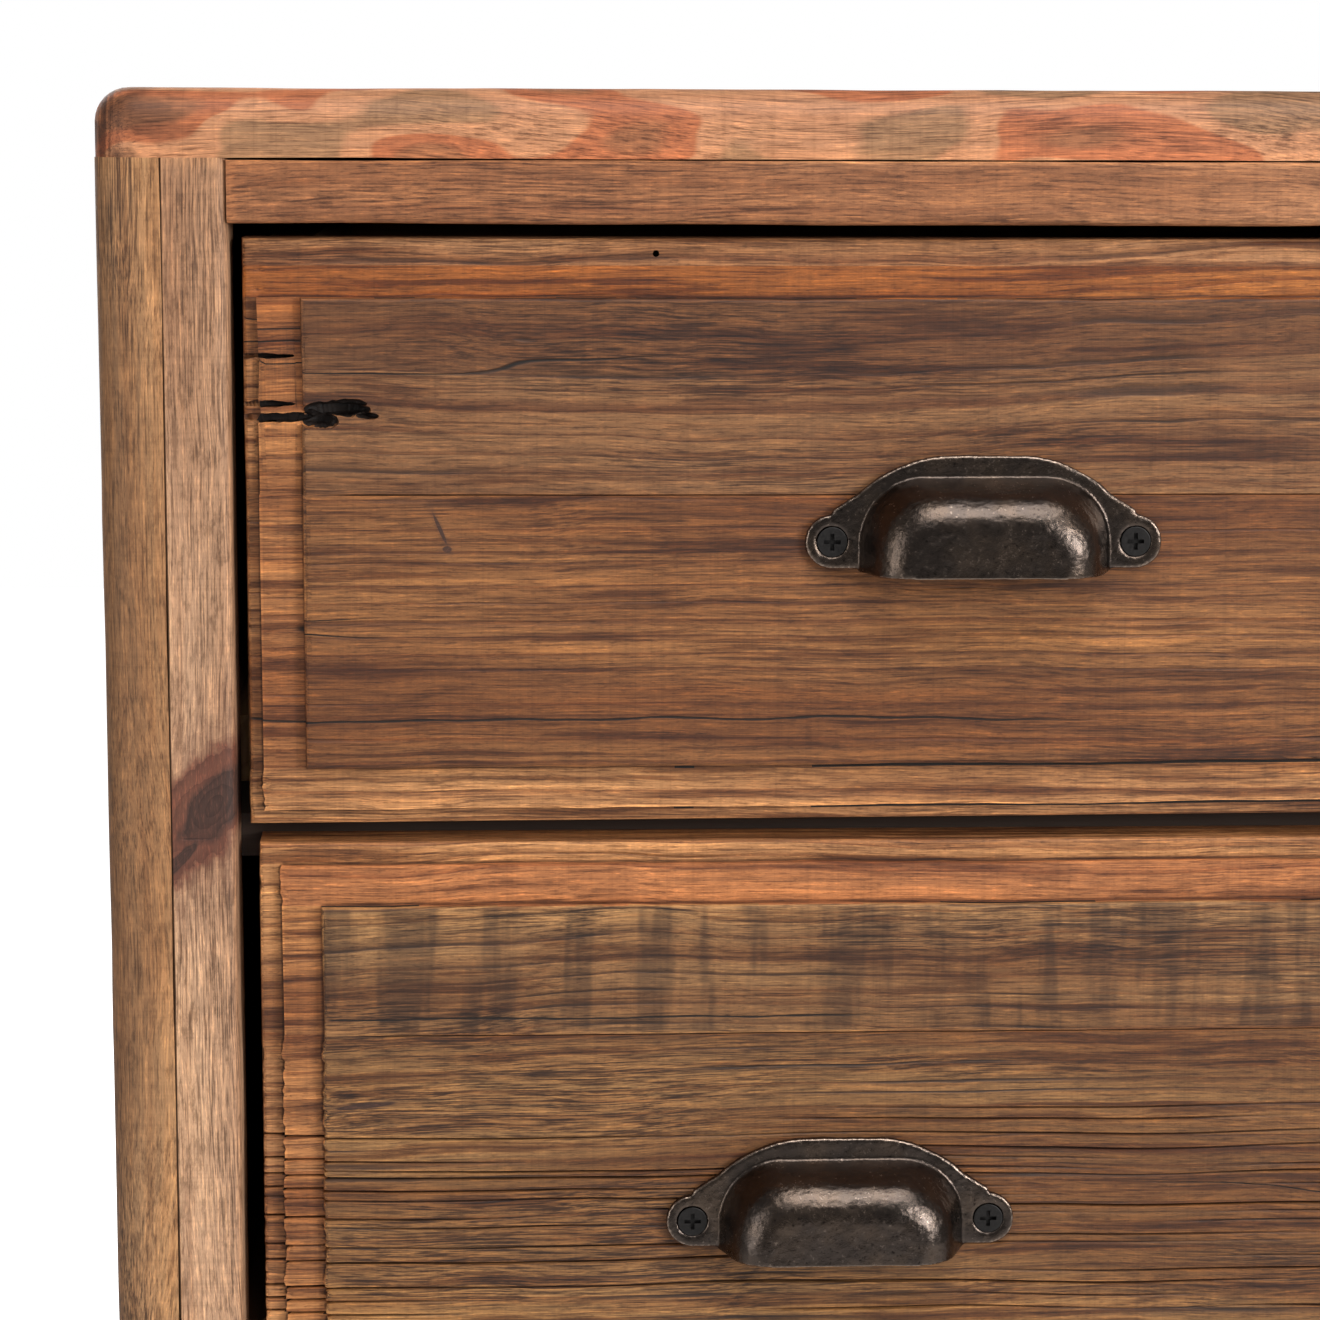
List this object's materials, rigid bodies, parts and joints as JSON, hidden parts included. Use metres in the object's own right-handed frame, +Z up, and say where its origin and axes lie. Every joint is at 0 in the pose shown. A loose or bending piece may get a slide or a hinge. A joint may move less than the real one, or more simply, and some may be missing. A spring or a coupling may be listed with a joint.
{
  "type": "chiffonier",
  "caption": "Tall free-standing chest of drawers in reclaimed pine, with short drawers over long ones, stepped fronts and cast-iron cup pulls.",
  "frame": {"origin": "on the floor, below the centre of the chest's bounding box, pulls included", "axes": "+Z up, the drawer fronts face -Y, +X to the right as seen from the front"},
  "size_m": [0.8128, 0.437, 1.0755],
  "materials": {
    "reclaimed_pine_top": "waxed, worn",
    "reclaimed_pine_case": "waxed, worn",
    "reclaimed_pine_front": "waxed, worn",
    "plain_pine_inside": "bare",
    "antique_cast_iron": "antiqued, sand-cast",
    "black_screw": "matt black"
  },
  "bodies": {
    "case": {"back_boards": "plain_pine_inside", "back_rails": "plain_pine_inside", "bottom_rail": "reclaimed_pine_case", "centre_partition": "plain_pine_inside", "centre_runner": "plain_pine_inside", "drawer_guides": "plain_pine_inside", "drawer_rail_1": "plain_pine_inside", "drawer_rail_2": "plain_pine_inside", "drawer_rail_3": "plain_pine_inside", "drawer_rail_4": "plain_pine_inside", "drawer_rail_5": "plain_pine_inside", "drawer_runners": "plain_pine_inside", "side_panel_left": "reclaimed_pine_case", "side_panel_right": "reclaimed_pine_case", "stile_left": "reclaimed_pine_case", "stile_right": "reclaimed_pine_case", "top_panel": "reclaimed_pine_top", "top_rail": "reclaimed_pine_case"},
    "short_drawer_left": {"short_drawer_left_back": "plain_pine_inside", "short_drawer_left_bottom": "plain_pine_inside", "short_drawer_left_front": "reclaimed_pine_front", "short_drawer_left_pull": "antique_cast_iron", "short_drawer_left_screws": "black_screw", "short_drawer_left_side_left": "plain_pine_inside", "short_drawer_left_side_right": "plain_pine_inside"},
    "short_drawer_right": {"short_drawer_right_back": "plain_pine_inside", "short_drawer_right_bottom": "plain_pine_inside", "short_drawer_right_front": "reclaimed_pine_front", "short_drawer_right_pull": "antique_cast_iron", "short_drawer_right_screws": "black_screw", "short_drawer_right_side_left": "plain_pine_inside", "short_drawer_right_side_right": "plain_pine_inside"},
    "long_drawer_1": {"long_drawer_1_back": "plain_pine_inside", "long_drawer_1_bottom": "plain_pine_inside", "long_drawer_1_front": "reclaimed_pine_front", "long_drawer_1_pulls": "antique_cast_iron", "long_drawer_1_screws": "black_screw", "long_drawer_1_side_left": "plain_pine_inside", "long_drawer_1_side_right": "plain_pine_inside"},
    "long_drawer_2": {"long_drawer_2_back": "plain_pine_inside", "long_drawer_2_bottom": "plain_pine_inside", "long_drawer_2_front": "reclaimed_pine_front", "long_drawer_2_pulls": "antique_cast_iron", "long_drawer_2_screws": "black_screw", "long_drawer_2_side_left": "plain_pine_inside", "long_drawer_2_side_right": "plain_pine_inside"},
    "long_drawer_3": {"long_drawer_3_back": "plain_pine_inside", "long_drawer_3_bottom": "plain_pine_inside", "long_drawer_3_front": "reclaimed_pine_front", "long_drawer_3_pulls": "antique_cast_iron", "long_drawer_3_screws": "black_screw", "long_drawer_3_side_left": "plain_pine_inside", "long_drawer_3_side_right": "plain_pine_inside"},
    "long_drawer_4": {"long_drawer_4_back": "plain_pine_inside", "long_drawer_4_bottom": "plain_pine_inside", "long_drawer_4_front": "reclaimed_pine_front", "long_drawer_4_pulls": "antique_cast_iron", "long_drawer_4_screws": "black_screw", "long_drawer_4_side_left": "plain_pine_inside", "long_drawer_4_side_right": "plain_pine_inside"}
  },
  "joints": [
    {"name": "short_drawer_left_slide", "type": "slide", "parent": "case", "child": "short_drawer_left", "axis": [0, -1, 0], "range_m": [0, 0.28]},
    {"name": "short_drawer_right_slide", "type": "slide", "parent": "case", "child": "short_drawer_right", "axis": [0, -1, 0], "range_m": [0, 0.28]},
    {"name": "long_drawer_1_slide", "type": "slide", "parent": "case", "child": "long_drawer_1", "axis": [0, -1, 0], "range_m": [0, 0.28]},
    {"name": "long_drawer_2_slide", "type": "slide", "parent": "case", "child": "long_drawer_2", "axis": [0, -1, 0], "range_m": [0, 0.28]},
    {"name": "long_drawer_3_slide", "type": "slide", "parent": "case", "child": "long_drawer_3", "axis": [0, -1, 0], "range_m": [0, 0.28]},
    {"name": "long_drawer_4_slide", "type": "slide", "parent": "case", "child": "long_drawer_4", "axis": [0, -1, 0], "range_m": [0, 0.28]}
  ]
}
